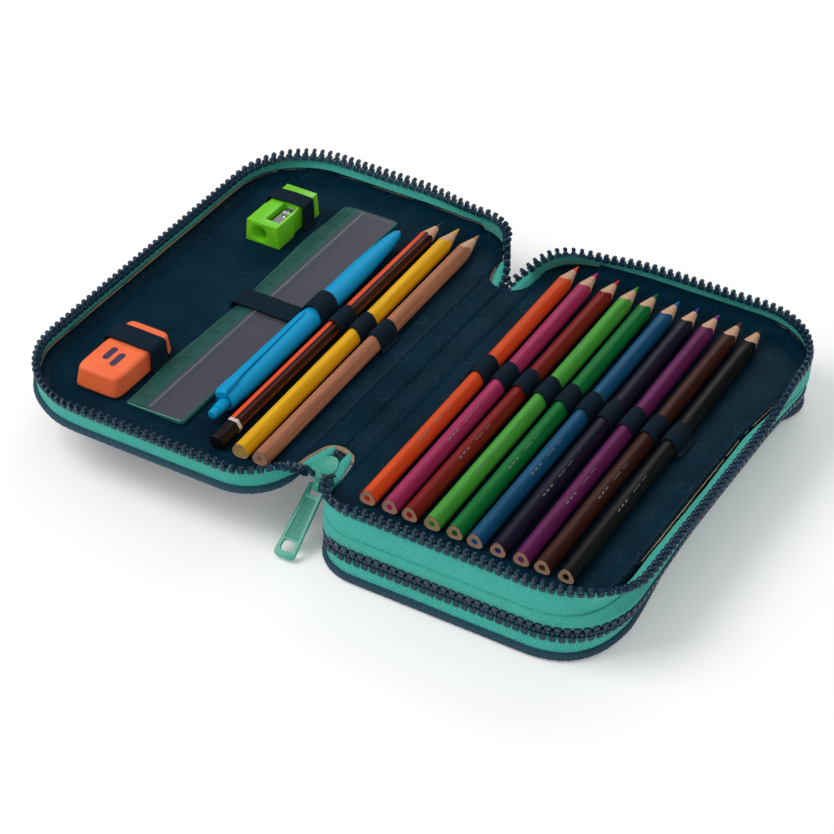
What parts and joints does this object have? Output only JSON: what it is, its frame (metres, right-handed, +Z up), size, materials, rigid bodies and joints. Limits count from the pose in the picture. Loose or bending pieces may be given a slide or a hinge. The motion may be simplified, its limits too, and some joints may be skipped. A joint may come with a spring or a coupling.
{
  "type": "pencil case",
  "caption": "Rounded two-compartment zipped pencil case lying open, with a hinged lid, a tray of coloured pencils in elastic loops, and a lower zipped compartment.",
  "frame": {"origin": "centre of the flat underside of the lower shell", "axes": "+Z up; +X from the spine to the free edge of the tray, with the open lid at -X; +Y along the pencils, from their blunt ends to their points"},
  "size_m": [0.2763, 0.2147, 0.0359],
  "materials": {
    "navy_fabric": "woven navy polyester, matt",
    "navy_lining": "smooth navy lining with a slight sheen",
    "stiffener_board": "raw brown board",
    "teal_tape": "teal herringbone zip tape",
    "navy_zip_teeth": "moulded navy plastic teeth, satin",
    "navy_elastic": "ribbed navy elastic webbing",
    "teal_enamel": "teal enamel, semi-gloss",
    "pen_blue": "bright blue satin plastic",
    "pen_tip_metal": "polished metal tip",
    "clear_acrylic": "clear plastic with a green tinted scale strip",
    "eraser_rubber": "matt orange eraser",
    "sharpener_green": "glossy lime plastic",
    "blade_steel": "bright steel",
    "lacquer_orange": "lacquered wood, satin",
    "lacquer_pink": "lacquered wood, satin",
    "lacquer_dark_red": "lacquered wood, satin",
    "lacquer_light_green": "lacquered wood, satin",
    "lacquer_green": "lacquered wood, satin",
    "lacquer_blue": "lacquered wood, satin",
    "lacquer_indigo": "lacquered wood, satin",
    "lacquer_purple": "lacquered wood, satin",
    "lacquer_brown": "lacquered wood, satin",
    "lacquer_black": "lacquered wood, satin",
    "lacquer_graphite": "lacquered wood, satin",
    "lacquer_yellow": "lacquered wood, satin",
    "lacquer_beige": "lacquered wood, satin"
  },
  "bodies": {
    "lower_shell": {"bottom_panel": "navy_fabric", "bottom_board": "stiffener_board", "bottom_lining": "navy_lining", "bottom_piping": "navy_fabric", "lower_tape_shell": "teal_tape", "lower_teeth_shell": "navy_zip_teeth"},
    "lower_spine": {"lower_spine_outer": "navy_fabric", "lower_spine_lining": "navy_lining"},
    "tray": {"lower_teeth_tray": "navy_zip_teeth", "lower_tape_tray": "teal_tape", "tray_ceiling_lining": "navy_lining", "tray_board": "stiffener_board", "tray_lining": "navy_lining", "upper_tape_tray": "teal_tape", "upper_teeth_tray": "navy_zip_teeth", "tray_loops": "navy_elastic"},
    "upper_spine": {"upper_spine_outer": "navy_fabric", "upper_spine_lining": "navy_lining", "upper_chain_near": "navy_zip_teeth", "upper_chain_far": "navy_zip_teeth"},
    "lid": {"lid_panel": "navy_fabric", "lid_board": "stiffener_board", "lid_lining": "navy_lining", "lid_piping": "navy_fabric", "lid_tape": "teal_tape", "lid_teeth": "navy_zip_teeth", "lid_loops": "navy_elastic", "ruler_strap": "navy_elastic", "eraser_strap": "navy_elastic", "sharpener_strap": "navy_elastic"},
    "upper_slider": {"upper_slider": "teal_enamel"},
    "upper_pull_tab": {"upper_pull_tab": "teal_enamel"},
    "lower_slider": {"lower_slider": "teal_enamel"},
    "lower_pull_tab": {"lower_pull_tab": "teal_enamel"},
    "pen": {"pen_barrel": "pen_blue", "pen_tip": "pen_tip_metal"},
    "pen_button": {"pen_button": "pen_blue"},
    "ruler": {"ruler": "clear_acrylic"},
    "eraser": {"eraser": "eraser_rubber"},
    "sharpener": {"sharpener_body": "sharpener_green", "sharpener_blade": "blade_steel", "sharpener_screw": "blade_steel"},
    "pencil_orange": {"pencil_orange": "lacquer_orange"},
    "pencil_pink": {"pencil_pink": "lacquer_pink"},
    "pencil_dark_red": {"pencil_dark_red": "lacquer_dark_red"},
    "pencil_light_green": {"pencil_light_green": "lacquer_light_green"},
    "pencil_green": {"pencil_green": "lacquer_green"},
    "pencil_blue": {"pencil_blue": "lacquer_blue"},
    "pencil_indigo": {"pencil_indigo": "lacquer_indigo"},
    "pencil_purple": {"pencil_purple": "lacquer_purple"},
    "pencil_brown": {"pencil_brown": "lacquer_brown"},
    "pencil_black": {"pencil_black": "lacquer_black"},
    "pencil_graphite": {"pencil_graphite": "lacquer_graphite"},
    "pencil_yellow": {"pencil_yellow": "lacquer_yellow"},
    "pencil_beige": {"pencil_beige": "lacquer_beige"}
  },
  "joints": [
    {"name": "lid_fold", "type": "hinge", "parent": "upper_spine", "child": "lid", "pos_m": [-0.0813, 0, 0.0254], "axis": [0, 1, 0], "range_deg": [-4.3, 90]},
    {"name": "upper_spine_fold", "type": "hinge", "parent": "tray", "child": "upper_spine", "pos_m": [-0.064, 0, 0.0254], "axis": [0, 1, 0], "range_deg": [-4.3, 90]},
    {"name": "tray_fold", "type": "hinge", "parent": "lower_spine", "child": "tray", "pos_m": [-0.0644, 0, 0.0203], "axis": [0, -1, 0], "range_deg": [0, 60]},
    {"name": "lower_spine_fold", "type": "hinge", "parent": "lower_shell", "child": "lower_spine", "pos_m": [-0.0644, 0, 0.0034], "axis": [0, -1, 0], "range_deg": [0, 60]},
    {"name": "upper_tab_swing", "type": "hinge", "parent": "upper_slider", "child": "upper_pull_tab", "pos_m": [-0.07265, -0.0782, 0.0186], "axis": [-1, 0, 0], "range_deg": [-130, 38]},
    {"name": "upper_slider_travel", "type": "slide", "parent": "upper_spine", "child": "upper_slider", "axis": [0, 1, 0], "range_m": [-0.006, 0]},
    {"name": "lower_slider_travel", "type": "slide", "parent": "lower_shell", "child": "lower_slider", "axis": [1, 0, 0], "range_m": [0, 0.06]},
    {"name": "lower_tab_swing", "type": "hinge", "parent": "lower_slider", "child": "lower_pull_tab", "pos_m": [-0.0437, 0.1077, 0.00925], "axis": [0, 0, -1], "range_deg": [-5, 150]},
    {"name": "pen_click", "type": "slide", "parent": "pen", "child": "pen_button", "axis": [-0.0209, 0.9998, 0], "range_m": [0, 0.0025]},
    {"name": "pen_slide", "type": "slide", "parent": "lid", "child": "pen", "axis": [-0.0209, 0.9998, 0], "range_m": [-0.015, 0.015]},
    {"name": "ruler_slide", "type": "slide", "parent": "lid", "child": "ruler", "axis": [0, 1, 0], "range_m": [-0.012, 0.012]},
    {"name": "eraser_slide", "type": "slide", "parent": "lid", "child": "eraser", "axis": [0, 1, 0], "range_m": [-0.012, 0.012]},
    {"name": "sharpener_slide", "type": "slide", "parent": "lid", "child": "sharpener", "axis": [0, 1, 0], "range_m": [-0.01, 0.01]},
    {"name": "pencil_orange_slide", "type": "slide", "parent": "tray", "child": "pencil_orange", "axis": [-0.0209, 0.9998, 0], "range_m": [-0.01, 0.005]},
    {"name": "pencil_pink_slide", "type": "slide", "parent": "tray", "child": "pencil_pink", "axis": [-0.0247, 0.9997, 0], "range_m": [-0.01, 0.005]},
    {"name": "pencil_dark_red_slide", "type": "slide", "parent": "tray", "child": "pencil_dark_red", "axis": [-0.0171, 0.9999, 0], "range_m": [-0.01, 0.005]},
    {"name": "pencil_light_green_slide", "type": "slide", "parent": "tray", "child": "pencil_light_green", "axis": [-0.021, 0.9998, 0], "range_m": [-0.01, 0.005]},
    {"name": "pencil_green_slide", "type": "slide", "parent": "tray", "child": "pencil_green", "axis": [-0.0247, 0.9997, 0], "range_m": [-0.01, 0.005]},
    {"name": "pencil_blue_slide", "type": "slide", "parent": "tray", "child": "pencil_blue", "axis": [-0.0171, 0.9999, 0], "range_m": [-0.01, 0.005]},
    {"name": "pencil_indigo_slide", "type": "slide", "parent": "tray", "child": "pencil_indigo", "axis": [-0.0211, 0.9998, 0], "range_m": [-0.01, 0.005]},
    {"name": "pencil_purple_slide", "type": "slide", "parent": "tray", "child": "pencil_purple", "axis": [-0.0246, 0.9997, 0], "range_m": [-0.01, 0.005]},
    {"name": "pencil_brown_slide", "type": "slide", "parent": "tray", "child": "pencil_brown", "axis": [-0.0171, 0.9999, 0], "range_m": [-0.01, 0.005]},
    {"name": "pencil_black_slide", "type": "slide", "parent": "tray", "child": "pencil_black", "axis": [-0.0212, 0.9998, 0], "range_m": [-0.01, 0.005]},
    {"name": "pencil_graphite_slide", "type": "slide", "parent": "lid", "child": "pencil_graphite", "axis": [-0.0122, 0.9999, 0], "range_m": [-0.01, 0.005]},
    {"name": "pencil_yellow_slide", "type": "slide", "parent": "lid", "child": "pencil_yellow", "axis": [-0.0244, 0.9997, 0], "range_m": [-0.01, 0.005]},
    {"name": "pencil_beige_slide", "type": "slide", "parent": "lid", "child": "pencil_beige", "axis": [-0.0209, 0.9998, 0], "range_m": [-0.01, 0.005]}
  ],
  "couplings": [
    {"joint": "upper_spine_fold", "follows": "lid_fold", "ratio": 1},
    {"joint": "lower_spine_fold", "follows": "tray_fold", "ratio": 1}
  ]
}
